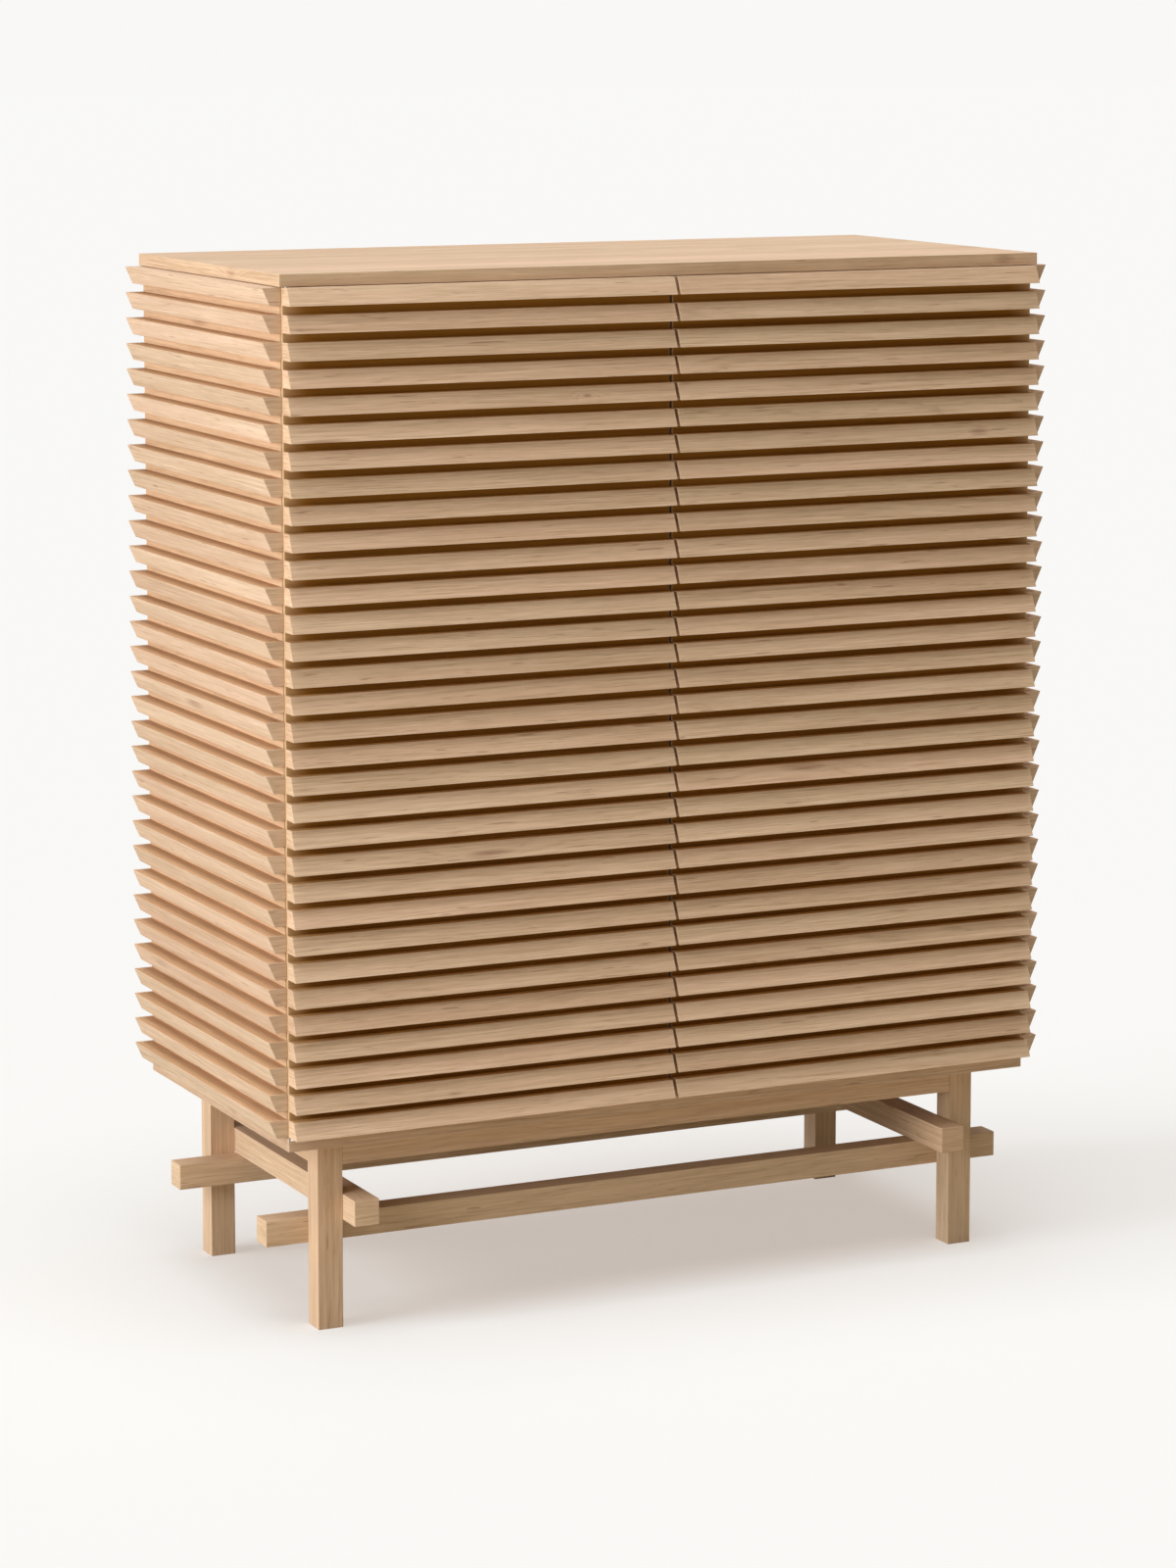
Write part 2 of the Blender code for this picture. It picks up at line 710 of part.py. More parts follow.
def add_frame(bottom):
    aprons = []
    for name, side in SIDES.items():
        across = sorted((side * leg_inner_x, side * leg_outer_x))
        add_leg(f"front_{name}_leg", across, front_leg_y, side, 1)
        add_leg(f"rear_{name}_leg", across, rear_leg_y, side, -1)
        start = front_leg_y[1] + FIT
        end = rear_leg_y[0] - FIT
        outline = apron_outline(start, end, side * leg_outer_x, -side)
        aprons.append(add_apron(name, [(x, y) for y, x in outline]))
        beam_outer = leg_inner_x - FIT
        beam_x = sorted((side * beam_outer, side * (beam_outer - BEAM_SIDE)))
        low = (beam_x[0], front_leg_y[0] - SIDE_BEAM_OVERHANG, side_beam_low)
        high = (beam_x[1], rear_leg_y[1] + SIDE_BEAM_OVERHANG, side_beam_high)
        box_object(f"{name}_side_beam", low, high, "oak_frame")

    apron_reach = leg_inner_x - FIT
    beam_reach = leg_outer_x + LONG_BEAM_OVERHANG
    rows = {
        "front": (front_leg_y[0], front_leg_y[1] + FIT, 1),
        "rear": (rear_leg_y[1], rear_leg_y[0] - FIT, -1),
    }
    for name, (outer_y, beam_y, inward) in rows.items():
        aprons.append(add_apron(name, apron_outline(-apron_reach, apron_reach, outer_y, inward)))
        ends = sorted((beam_y, beam_y + inward * BEAM_SIDE))
        low = (-beam_reach, ends[0], long_beam_low)
        high = (beam_reach, ends[1], long_beam_high)
        box_object(f"{name}_long_beam", low, high, "oak_frame")

    places = base_screw_places()
    cut_screw_holes([*aprons, bottom], "base_screw_holes", places, BASE_SCREW, None, APRON_HEIGHT)


clear_scene()
materials = {
    "oak_slat": make_material("oak_slat", (0.56, 0.37, 0.22), 0.55),
    "oak_panel": make_material("oak_panel", (0.58, 0.39, 0.24), 0.55),
    "oak_frame": make_material("oak_frame", (0.54, 0.36, 0.22), 0.55),
    "steel": make_material("steel", (0.55, 0.55, 0.56), 0.35, 1.0),
    "plastic": make_material("plastic", (0.30, 0.20, 0.13), 0.5),
    "cutter": make_material("cutter", (0.8, 0.1, 0.1), 1.0),
}
top_panel, bottom_panel = add_case()
add_case_hinges(top_panel, bottom_panel)
add_catches(top_panel)
for door_name, door_side in SIDES.items():
    add_door(door_name, door_side)
add_frame(bottom_panel)
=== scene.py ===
"""The looks of the slatted oak highboard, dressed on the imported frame."""

import json
import math

import bmesh
import bpy
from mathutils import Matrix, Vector


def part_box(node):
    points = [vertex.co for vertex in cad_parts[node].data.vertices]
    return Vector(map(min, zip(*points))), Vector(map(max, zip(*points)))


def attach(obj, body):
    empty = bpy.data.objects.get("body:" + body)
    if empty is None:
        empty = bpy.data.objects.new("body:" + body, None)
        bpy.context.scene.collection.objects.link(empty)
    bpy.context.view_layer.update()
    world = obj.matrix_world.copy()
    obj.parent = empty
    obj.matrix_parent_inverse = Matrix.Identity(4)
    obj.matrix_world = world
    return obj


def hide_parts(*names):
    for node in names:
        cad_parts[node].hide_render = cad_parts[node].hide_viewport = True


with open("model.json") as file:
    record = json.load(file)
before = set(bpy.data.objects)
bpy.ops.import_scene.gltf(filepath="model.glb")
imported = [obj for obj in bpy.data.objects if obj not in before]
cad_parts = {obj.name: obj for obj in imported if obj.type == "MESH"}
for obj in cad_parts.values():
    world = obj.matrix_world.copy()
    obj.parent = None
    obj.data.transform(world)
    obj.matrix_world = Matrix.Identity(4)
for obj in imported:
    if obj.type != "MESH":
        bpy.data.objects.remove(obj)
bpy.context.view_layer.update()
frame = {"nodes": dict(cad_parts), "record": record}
scene = bpy.context.scene

SIDES = {"left": -1, "right": 1}

# Slats, as in the part's source
SLAT_COUNT = 32
SLAT_GAP = 0.010
SLAT_SLIM_EDGE = 0.0135
DOOR_BOARD_THICKNESS = 0.005
SIDE_BOARD_THICKNESS = 0.003
SLAT_SINK = 0.0003
SLAT_EASE = 0.0006
BOARD_EASE = 0.0004

# Screws, as in the part's source: head radius, head height, shank radius, length
HINGE_SCREW = (0.0028, 0.0014, 0.0015, 0.010)
BASE_SCREW = (0.0042, 0.0028, 0.0022, 0.028)
BACK_SCREW = (0.0032, 0.0020, 0.0016, 0.018)
CATCH_SCREW = (0.0030, 0.0016, 0.0015, 0.012)
STRIKE_SCREW = (0.0022, 0.0010, 0.0012, 0.009)
HINGE_SCREW_INSET = 0.0045
HINGE_SCREW_STEP = 0.017
CATCH_EAR = 0.012
CATCH_EAR_THICKNESS = 0.003
STRIKE_SCREW_INSET = 0.004
BACK_SCREW_ROWS = 4
BACK_SCREW_INSET = 0.060
BACK_SCREW_IN_SIDE = 0.005
BASE_SCREW_IN_PANEL = 0.012
BASE_SCREW_SHARES = {"long": (-0.5, 0.0, 0.5), "short": (0.25, 0.75)}
SCREW_CLEARANCE = 0.00015
SCREW_SIDES = 24

# Cross recess, in shares of the head's radius, and its depth in shares of the head's height
CROSS_REACH = 0.62
CROSS_HALF_WIDTH = 0.15
CROSS_FLOOR = 0.55
CROSS_DEPTH = 0.75

# Pole plates of a catch: lower edges and height in shares of the strike plate's height
POLE_LOWER_EDGES = (0.12, 0.60)
POLE_HEIGHT = 0.28
POLE_INSET = 0.004
POLE_SINK = 0.001
POLE_EASE = 0.0001

# Eased edges of the CAD nodes, by material
NODE_EASES = {"wood": 0.0006, "steel": 0.0002, "plastic": 0.0003}
WELD_DISTANCE = 0.00001
EASED_ANGLE = 40

# Camera, fitted to the corners of the case, the slats' edges and the legs
CAMERA_PLACE = (-2.3195, -4.8160, 1.5049)
CAMERA_YAW = 25.670
CAMERA_PITCH = 7.361
CAMERA_LENS = 104.317
CAMERA_SHIFT = -0.13

# Background and floor. The camera sees the floor's lit colour and its glow, and light bounces off the third.
PALE = (0.947, 0.939, 0.922, 1.0)
AMBIENT = (1.10, 1.0, 0.78, 1.0)
AMBIENT_STRENGTH = 0.06
FLOOR_BOUNCE = (0.74, 0.67, 0.525, 1.0)
FLOOR_LIT = (0.435, 0.488, 0.513, 1.0)
FLOOR_GLOW = (0.525, 0.471, 0.436, 1.0)
FLOOR_HALF_WIDTH = 60.0
FLOOR_DROP = 0.0002

# Lamps far away: name, direction to the lamp, strength, angle that it spans, colour
WHITE = (1.0, 1.0, 1.0)
OBJECT_SUNS = (
    ("left_lamp", (-0.99, -0.03, 0.14), 0.56, 22, (0.93, 1.0, 1.10)),
    ("top_lamp", (-0.10, -0.02, 1.0), 0.94, 66, (1.0, 1.0, 1.03)),
    ("front_lamp", (0.25, -0.93, 0.26), 0.035, 50, WHITE),
)
FLOOR_SUNS = (
    ("floor_top_lamp", (-0.05, -0.12, 0.98), 0.68, 44, WHITE),
    ("floor_left_lamp", (-0.819, 0.0, 0.574), 0.40, 30, WHITE),
)
# Lamp near the object: name, place, target, size, power, colour
SOFTBOX = ("softbox", (-2.6, -1.1, 1.3), (0.0, -0.1, 0.7), 1.1, 37.0, (1.0, 1.0, 1.02))


def make_camera():
    data = bpy.data.cameras.new("camera")
    data.lens = CAMERA_LENS
    data.sensor_width = 36
    data.shift_y = CAMERA_SHIFT
    data.clip_start = 0.05
    data.clip_end = 200
    camera = bpy.data.objects.new("camera", data)
    camera.location = CAMERA_PLACE
    camera.rotation_euler = (math.radians(90 - CAMERA_PITCH), 0, -math.radians(CAMERA_YAW))
    scene.collection.objects.link(camera)
    scene.camera = camera


# Node helpers


def add_node(tree, kind, inputs=(), **settings):
    """A node with its settings, and its inputs given as {name or index: number, tuple or socket}."""
    node = tree.nodes.new(kind)
    for name, value in settings.items():
        setattr(node, name, value)
    for name, value in dict(inputs).items():
        if isinstance(value, bpy.types.NodeSocket):
            tree.links.new(value, node.inputs[name])
        else:
            node.inputs[name].default_value = value
    return node


def maths(tree, operation, *values):
    return add_node(tree, "ShaderNodeMath", dict(enumerate(values)), operation=operation).outputs[0]


def blend(tree, factor, first, second, way="MIX"):
    """A mix of two colours. Sockets 6 and 7 are the colours A and B, and output 2 is the colour."""
    inputs = {0: factor, 6: first, 7: second}
    node = add_node(tree, "ShaderNodeMix", inputs, data_type="RGBA", blend_type=way)
    return node.outputs[2]


def spread(tree, value, low, high, to_low=0.0, to_high=1.0):
    """The value, rescaled from low..high to to_low..to_high and held within it."""
    inputs = {"Value": value, 1: low, 2: high, 3: to_low, 4: to_high}
    return add_node(tree, "ShaderNodeMapRange", inputs).outputs[0]


def noise(tree, place, scales, detail=2.0, roughness=0.5):
    """Noise stretched by its own scale along each axis, in features per metre."""
    inputs = {
        "Vector": stretch(tree, place, scales),
        "Scale": 1.0,
        "Detail": detail,
        "Roughness": roughness,
    }
    return add_node(tree, "ShaderNodeTexNoise", inputs).outputs[0]


def new_material(name):
    material = bpy.data.materials.new(name)
    material.use_nodes = True
    tree = material.node_tree
    return material, tree, tree.nodes["Principled BSDF"]


# Oak: its light, dark, pink and brown parts

OAK_COLOURS = (
    (0.690, 0.497, 0.332),
    (0.520, 0.352, 0.218),
    (0.610, 0.405, 0.270),
    (0.300, 0.160, 0.100),
)
PLANK_HUES = ((1.020, 0.990, 0.990, 1), (0.985, 0.998, 0.982, 1))
OAK_SPECULAR = 0.06
RING_WIDTH = 0.0032
PLANK_TURN = 6.283
KNOTS_PER_METRE = (2.6, 13.0, 13.0)

# Painted shade in the doors' gaps, giving way to plain oak as painted light: darkest and lightest tone of
# each part
PAINTED_SHADE_TONES = ((0.24, 0.10, 0.015, 1), (0.36, 0.165, 0.027, 1))
PAINTED_LIGHT_TONES = ((0.48, 0.29, 0.13, 1), (0.60, 0.39, 0.20, 1))
THIN_PAINTED_SHADE = (0.70, 0.42, 0.15, 1)
PAINTED_SHADE_SPECULAR = 0.04
PAINTED_LIGHT_WIDTH = 0.030
PAINTED_SHADE_THIN_DEPTH = 0.0060
PAINTED_SHADE_LIP_ENDS = (0.0090, 0.0140)

# Knots at places of their own: middle and radii
TOP_KNOTS = (
    ((-0.480, -0.067, 1.1955), (0.008, 0.014, 0.0055)),
    ((0.435, -0.2135, 1.1960), (0.015, 0.008, 0.0060)),
)
SLAT_KNOTS = (
    ((0.396, -0.226, 0.9955), (0.014, 0.009, 0.0060)),
    ((-0.114, -0.226, 1.0570), (0.006, 0.009, 0.0025)),
    ((0.215, -0.226, 0.8230), (0.009, 0.009, 0.0020)),
)

# Staves of the panels: axis, first joint, width
STAVE_WIDTH = 0.074
STAVES_ACROSS = ("Y", -0.2455, STAVE_WIDTH)
STAVES_ALONG = ("X", -0.481, STAVE_WIDTH)

# The axes along the grain, across it and through the ring layers, for grain along each axis
GRAIN_TURNS = {
    "X": ("X", "Y", "Z"),
    "Y": ("Y", "X", "Z"),
    "Z": ("Z", "X", "Y"),
}


def shifted(tree, place, seed, reach):
    """The place, moved to another spot of the wood for each seed."""
    spot = add_node(tree, "ShaderNodeTexWhiteNoise", {"W": seed}, noise_dimensions="1D").outputs["Color"]
    move = add_node(tree, "ShaderNodeVectorMath", {0: spot, "Scale": reach}, operation="SCALE").outputs[0]
    return add_node(tree, "ShaderNodeVectorMath", {0: place, 1: move}, operation="ADD").outputs[0]


def stretch(tree, place, scales):
    inputs = {0: place, 1: scales}
    return add_node(tree, "ShaderNodeVectorMath", inputs, operation="MULTIPLY").outputs[0]


def nearness(tree, place, spots):
    """How far the place is from the nearest of the spots, each (middle, radii), in radii."""
    nearest = 9.0
    for middle, radii in spots:
        away = add_node(tree, "ShaderNodeVectorMath", {0: place, 1: middle}, operation="SUBTRACT").outputs[0]
        scaled = stretch(tree, away, tuple(1 / radius for radius in radii))
        length = add_node(tree, "ShaderNodeVectorMath", {0: scaled}, operation="LENGTH").outputs["Value"]
        nearest = maths(tree, "MINIMUM", length, nearest)
    return nearest


def tinted(colour, tint):
    """The colour times the tint, with an alpha of 1."""
    return (*(part * share for part, share in zip(colour, tint)), 1.0)


def oak(name, grain, planks=None, edged=False, spots=(), contrast=1.0, tint=(1, 1, 1)):
    """Light natural oak with its grain along an axis.

    planks gives (axis, start, width) of the pieces that the wood is laid up from: slats stacked in
    height, or the staves of a panel. Each then has its own tone and its own spot of the wood.
    An edged panel has strips of long grain on its ends in place of end grain, and its upright sides a little
    darker as painted shade.
    """
    material, tree, shader = new_material(name)
    coordinates = add_node(tree, "ShaderNodeTexCoord")
    parts = add_node(tree, "ShaderNodeSeparateXYZ", {0: coordinates.outputs["Object"]}).outputs
    normal = add_node(tree, "ShaderNodeSeparateXYZ", {0: coordinates.outputs["Normal"]}).outputs
    ends = spread(tree, maths(tree, "ABSOLUTE", normal[grain]), 0.80, 0.95)
    along, across, rise = (parts[axis] for axis in GRAIN_TURNS[grain])
    place = add_node(tree, "ShaderNodeCombineXYZ", {0: along, 1: across, 2: rise}).outputs[0]
    if edged:
        strip = add_node(tree, "ShaderNodeCombineXYZ", {0: across, 1: along, 2: rise}).outputs[0]
        inputs = {0: ends, 4: place, 5: strip}
        place = add_node(tree, "ShaderNodeMix", inputs, data_type="VECTOR").outputs[1]
    else:
        squeezed = maths(tree, "MULTIPLY", across, spread(tree, ends, 0.0, 1.0, 1.0, 0.06))
        place = add_node(tree, "ShaderNodeCombineXYZ", {0: along, 1: squeezed, 2: rise}).outputs[0]

    seed = add_node(tree, "ShaderNodeObjectInfo").outputs["Random"]
    seed = maths(tree, "MULTIPLY", seed, 60.0)
    if planks:
        axis, start, width = planks
        count = maths(tree, "DIVIDE", maths(tree, "SUBTRACT", parts[axis], start), width)
        plank = maths(tree, "FLOOR", count)
        if edged:
            plank = maths(tree, "MULTIPLY", plank, maths(tree, "SUBTRACT", 1.0, ends))
        seed = maths(tree, "ADD", seed, maths(tree, "MULTIPLY", plank, 7.31))
    place = shifted(tree, place, seed, 40.0)
    picks = add_node(
        tree, "ShaderNodeTexWhiteNoise", {"W": maths(tree, "ADD", seed, 3.7)}, noise_dimensions="1D"
    ).outputs["Color"]
    picks = add_node(tree, "ShaderNodeSeparateColor", {0: picks}).outputs
    plank_tone, plank_hue, plank_turn = picks[0], picks[1], picks[2]

    # Knots, long along the grain, which push the growth rings aside
    knot = add_node(tree, "ShaderNodeTexVoronoi", {
        "Vector": stretch(tree, place, KNOTS_PER_METRE),
        "Scale": 1.0,
    }).outputs["Distance"]
    knot = maths(tree, "MULTIPLY", knot, KNOTS_PER_METRE[1])
    if spots:
        knot = maths(tree, "MINIMUM", knot, nearness(tree, coordinates.outputs["Object"], spots))
    knot_push = spread(tree, knot, 0.1, 3.5, 1.0, 0.0)

    # Growth rings: layers across the grain that wander, at a turn of their own in each plank
    cut = add_node(tree, "ShaderNodeSeparateXYZ", {0: place}).outputs
    turn = maths(tree, "MULTIPLY", plank_turn, PLANK_TURN)
    side_part = maths(tree, "MULTIPLY", cut["Y"], maths(tree, "COSINE", turn))
    rise_part = maths(tree, "MULTIPLY", cut["Z"], maths(tree, "SINE", turn))
    depth = maths(tree, "ADD", side_part, rise_part)
    wander = noise(tree, place, (1.1, 13.0, 13.0), 1.0)
    waver = noise(tree, place, (8.0, 55.0, 55.0), 2.0, 0.6)
    depth = maths(tree, "ADD", depth, maths(tree, "MULTIPLY", wander, 0.040))
    depth = maths(tree, "ADD", depth, maths(tree, "MULTIPLY", waver, 0.0035))
    depth = maths(tree, "ADD", depth, maths(tree, "MULTIPLY", knot_push, 0.007))
    ring = maths(tree, "FRACT", maths(tree, "MULTIPLY", depth, 1 / RING_WIDTH))
    early = spread(tree, ring, 0.0, 0.35, 1.0, 0.0)
    late = spread(tree, ring, 0.55, 1.0, 0.0, 1.0)

    # The wood's figure at each scale, finer and finer
    broad = noise(tree, place, (1.6, 30.0, 30.0), 2.0)
    patch = noise(tree, place, (3.0, 75.0, 75.0), 2.0)
    streaks = noise(tree, place, (8.0, 330.0, 330.0), 2.0, 0.65)
    fibres = noise(tree, place, (26.0, 900.0, 900.0), 2.0, 0.6)
    pores = noise(tree, place, (45.0, 1000.0, 1000.0), 0.0)
    flecks = noise(tree, place, (20.0, 330.0, 330.0), 1.0)

    light, dark, pink, brown = (tinted(colour, tint) for colour in OAK_COLOURS)
    broad_part = maths(tree, "MULTIPLY", broad, 0.35)
    figure = maths(tree, "ADD", broad_part, maths(tree, "MULTIPLY", streaks, 0.65))
    colour = blend(tree, spread(tree, figure, 0.33, 0.64), dark, light)
    colour = blend(tree, spread(tree, patch, 0.46, 0.78, 0.0, 0.60), colour, pink)

    # Early wood is dark with pores, late wood a little denser
    amount = spread(tree, patch, 0.30, 0.62, contrast, 0.25 * contrast)
    early_part = maths(tree, "MULTIPLY", early, 0.17)
    rings = maths(tree, "ADD", early_part, maths(tree, "MULTIPLY", late, 0.08))
    shade = maths(tree, "SUBTRACT", 1.06, maths(tree, "MULTIPLY", rings, amount))
    shade = maths(tree, "MULTIPLY", shade, spread(tree, plank_tone, 0.0, 1.0, 0.93, 1.06))
    fine = spread(tree, fibres, 0.30, 0.70, 1 - 0.10 * contrast, 1 + 0.08 * contrast)
    shade = maths(tree, "MULTIPLY", shade, fine)
    open_pores = spread(tree, pores, 0.56, 0.66)
    open_pores = maths(tree, "MULTIPLY", open_pores, maths(tree, "ADD", early, 0.25))
    shade = maths(tree, "SUBTRACT", shade, maths(tree, "MULTIPLY", open_pores, 0.16 * contrast))
    if edged:
        # Painted shade: the upright sides a little darker than the faces
        flat = maths(tree, "ABSOLUTE", normal["Z"])
        shade = maths(tree, "MULTIPLY", shade, spread(tree, flat, 0.1, 0.6, 0.86, 1.0))
    else:
        shade = maths(tree, "MULTIPLY", shade, spread(tree, ends, 0.0, 1.0, 1.0, 0.92))

    # Darker wood is warmer: in the grain, and in the painted shade on an edged panel's sides
    hue = blend(tree, plank_hue, *PLANK_HUES)
    colour = blend(tree, 1.0, colour, hue, "MULTIPLY")
    shades = {0: maths(tree, "POWER", shade, 0.85), 1: shade, 2: maths(tree, "POWER", shade, 1.2)}
    warm = add_node(tree, "ShaderNodeCombineColor", shades).outputs[0]
    colour = blend(tree, 1.0, colour, warm, "MULTIPLY")
    colour = blend(tree, spread(tree, flecks, 0.71, 0.77, 0.0, 0.60), colour, brown)
    knot_core = spread(tree, knot, 0.35, 1.20, 0.85, 0.0)
    knot_core = maths(tree, "MULTIPLY", knot_core, spread(tree, streaks, 0.38, 0.62, 1.0, 0.35))
    colour = blend(tree, knot_core, colour, brown)
    tree.links.new(colour, shader.inputs["Base Color"])

    shader.inputs["Specular IOR Level"].default_value = OAK_SPECULAR
    tree.links.new(spread(tree, streaks, 0.3, 0.7, 0.68, 0.54), shader.inputs["Roughness"])
    relief = maths(tree, "SUBTRACT", maths(tree, "MULTIPLY", fibres, 0.5), open_pores)
    bump = add_node(tree, "ShaderNodeBump", {"Height": relief, "Strength": 0.30, "Distance": 0.0003})
    tree.links.new(bump.outputs[0], shader.inputs["Normal"])
    return material


def painted_shade_oak(name, outer, face):
    """Oak darkened to dark brown as painted shade: the boards behind the doors' slats, and the slats' own
    backs, tops and undersides.

    The painted shade gives way to plain oak towards the doors' outer ends, at x = outer, as painted light,
    and thins out in front of the board's face, at y = face, until it ends on the slats' lips.
    """
    material, tree, shader = new_material(name)
    place = add_node(tree, "ShaderNodeTexCoord").outputs["Object"]
    layers = noise(tree, place, (2.5, 200.0, 160.0), 3.0, 0.6)
    pores = noise(tree, place, (40.0, 1200.0, 1200.0), 1.0)
    holes = spread(tree, pores, 0.62, 0.74, 1.0, 0.7)
    shade_tone = blend(tree, spread(tree, layers, 0.3, 0.7), *PAINTED_SHADE_TONES)
    lit_tone = blend(tree, spread(tree, layers, 0.3, 0.7), *PAINTED_LIGHT_TONES)
    parts = add_node(tree, "ShaderNodeSeparateXYZ", {0: place}).outputs
    # Painted light: plain oak towards the doors' open outer ends and on the slats' lips. The painted shade
    # thins in front of the board's face.
    painted_light = spread(tree, maths(tree, "ABSOLUTE", parts["X"]), outer - PAINTED_LIGHT_WIDTH, outer)
    painted_light = maths(tree, "POWER", painted_light, 1.5)
    thin = spread(tree, parts["Y"], face, face - PAINTED_SHADE_THIN_DEPTH)
    shade_tone = blend(tree, thin, shade_tone, THIN_PAINTED_SHADE)
    lip = spread(tree, parts["Y"], face - PAINTED_SHADE_LIP_ENDS[0], face - PAINTED_SHADE_LIP_ENDS[1])
    painted_light = maths(tree, "MAXIMUM", painted_light, lip)
    colour = blend(tree, painted_light, shade_tone, lit_tone)
    shade = add_node(tree, "ShaderNodeCombineColor", {0: holes, 1: holes, 2: holes}).outputs[0]
    tree.links.new(blend(tree, 1.0, colour, shade, "MULTIPLY"), shader.inputs["Base Color"])
    tree.links.new(spread(tree, layers, 0.3, 0.7, 0.75, 0.88), shader.inputs["Roughness"])
    shader.inputs["Specular IOR Level"].default_value = PAINTED_SHADE_SPECULAR
    bump = add_node(tree, "ShaderNodeBump", {"Height": holes, "Strength": 0.3, "Distance": 0.0003})
    tree.links.new(bump.outputs[0], shader.inputs["Normal"])
    return material


def steel(name):
    """Zinc-plated steel with fine brushing and faint clouding."""
    material, tree, shader = new_material(name)
    place = add_node(tree, "ShaderNodeTexCoord").outputs["Object"]
    brushed = noise(tree, place, (3000.0, 300.0, 3000.0), 2.0)
    cloud = noise(tree, place, (90.0, 90.0, 90.0), 3.0)
    colour = blend(tree, cloud, (0.52, 0.53, 0.55, 1), (0.66, 0.66, 0.65, 1))
    tree.links.new(colour, shader.inputs["Base Color"])
    rough = spread(tree, cloud, 0.3, 0.7, 0.24, 0.36)
    rough = maths(tree, "ADD", rough, maths(tree, "MULTIPLY", brushed, 0.12))
    tree.links.new(rough, shader.inputs["Roughness"])
    shader.inputs["Metallic"].default_value = 1.0
    bump = add_node(tree, "ShaderNodeBump", {"Height": brushed, "Strength": 0.15, "Distance": 0.0001})
    tree.links.new(bump.outputs[0], shader.inputs["Normal"])
    return material


def plastic(name):
    """Brown moulded plastic with a spark-eroded texture."""
    material, tree, shader = new_material(name)
    place = add_node(tree, "ShaderNodeTexCoord").outputs["Object"]
    grit = noise(tree, place, (2600.0, 2600.0, 2600.0), 2.0)
    cloud = noise(tree, place, (60.0, 60.0, 60.0), 2.0)
    colour = blend(tree, cloud, (0.25, 0.165, 0.105, 1), (0.31, 0.205, 0.135, 1))
    tree.links.new(colour, shader.inputs["Base Color"])
    tree.links.new(spread(tree, grit, 0.3, 0.7, 0.42, 0.58), shader.inputs["Roughness"])
    bump = add_node(tree, "ShaderNodeBump", {"Height": grit, "Strength": 0.25, "Distance": 0.0001})
    tree.links.new(bump.outputs[0], shader.inputs["Normal"])
    return material


# Pieces


def add_piece(name, mesh, piece_materials, body):
    """An object from the mesh, which rides on the body and takes the materials given."""
    bmesh.ops.recalc_face_normals(mesh, faces=mesh.faces)
    data = bpy.data.meshes.new(name)
    mesh.to_mesh(data)
    mesh.free()
    for material in piece_materials:
        data.materials.append(material)
    piece = bpy.data.objects.new(name, data)
    scene.collection.objects.link(piece)
    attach(piece, body)
    return piece


def add_bar(mesh, section, axis, start, end, ease, indices=(0,)):
    """A straight bar with a section in the plane across the axis, its edges eased.

    indices are the materials of its sides, in the order of the section's edges, and of its two ends.
    """
    ends = []
    for place in (start, end):
        ring = []
        for across, height in section:
            point = (place, across, height) if axis == "X" else (across, place, height)
            ring.append(mesh.verts.new(point))
        ends.append(ring)
    faces = []
    for index in range(len(section)):
        after = (index + 1) % len(section)
        faces.append(mesh.faces.new((ends[0][index], ends[0][after], ends[1][after], ends[1][index])))
    faces += [mesh.faces.new(ends[0]), mesh.faces.new(reversed(ends[1]))]
    for index, face in enumerate(faces):
        face.material_index = indices[min(index, len(indices) - 1)]
    edges = list({edge for face in faces for edge in face.edges})
    bmesh.ops.bevel(
        mesh, geom=edges, offset=ease, segments=2, profile=0.6, affect="EDGES", clamp_overlap=True
    )


def slat_rows(node):
    """The height of the first slat's lower edge, and the pitch."""
    low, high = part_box(node)
    return low.z, (high.z - low.z + SLAT_GAP) / SLAT_COUNT


def slat_sections(low, pitch, face, outward, low_depth, high_depth):
    """Each slat's section, from the board's face outward, sunk into the board by a hair."""
    for row in range(SLAT_COUNT):
        bottom = low + row * pitch
        top = bottom + pitch - SLAT_GAP
        inner = face - outward * SLAT_SINK
        yield (
            (inner, bottom),
            (face + outward * low_depth, bottom),
            (face + outward * high_depth, top),
            (inner, top),
        )


def slat_indices(row, painted_shade, inner):
    """The materials of a slat's underside, front, top, back and ends. Its underside and top inside the gaps
    take the painted shade; the outermost faces are plain.
    """
    return (painted_shade if row else 0, 0, painted_shade if row < SLAT_COUNT - 1 else 0, inner, 0)


def add_door_slats(name):
    node = f"{name}_door_slat_board"
    low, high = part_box(node)
    first, pitch = slat_rows(node)
    face = high.y - DOOR_BOARD_THICKNESS
    mesh = bmesh.new()
    # The inner slats' tops and undersides, all slats' backs, and the board's face and ends take the painted
    # shade
    for row, section in enumerate(slat_sections(first, pitch, face, -1, face - low.y, SLAT_SLIM_EDGE)):
        add_bar(mesh, section, "X", low.x, high.x, SLAT_EASE, slat_indices(row, 1, 1))
    board = ((face, low.z), (high.y, low.z), (high.y, high.z), (face, high.z))
    add_bar(mesh, board, "X", low.x, high.x, BOARD_EASE, (0, 0, 0, 1, 1))
    boards = (materials["door_slat"], materials["door_board"])
    piece = add_piece(f"{name}_door_slats", mesh, boards, f"{name}_door")
    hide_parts(node)


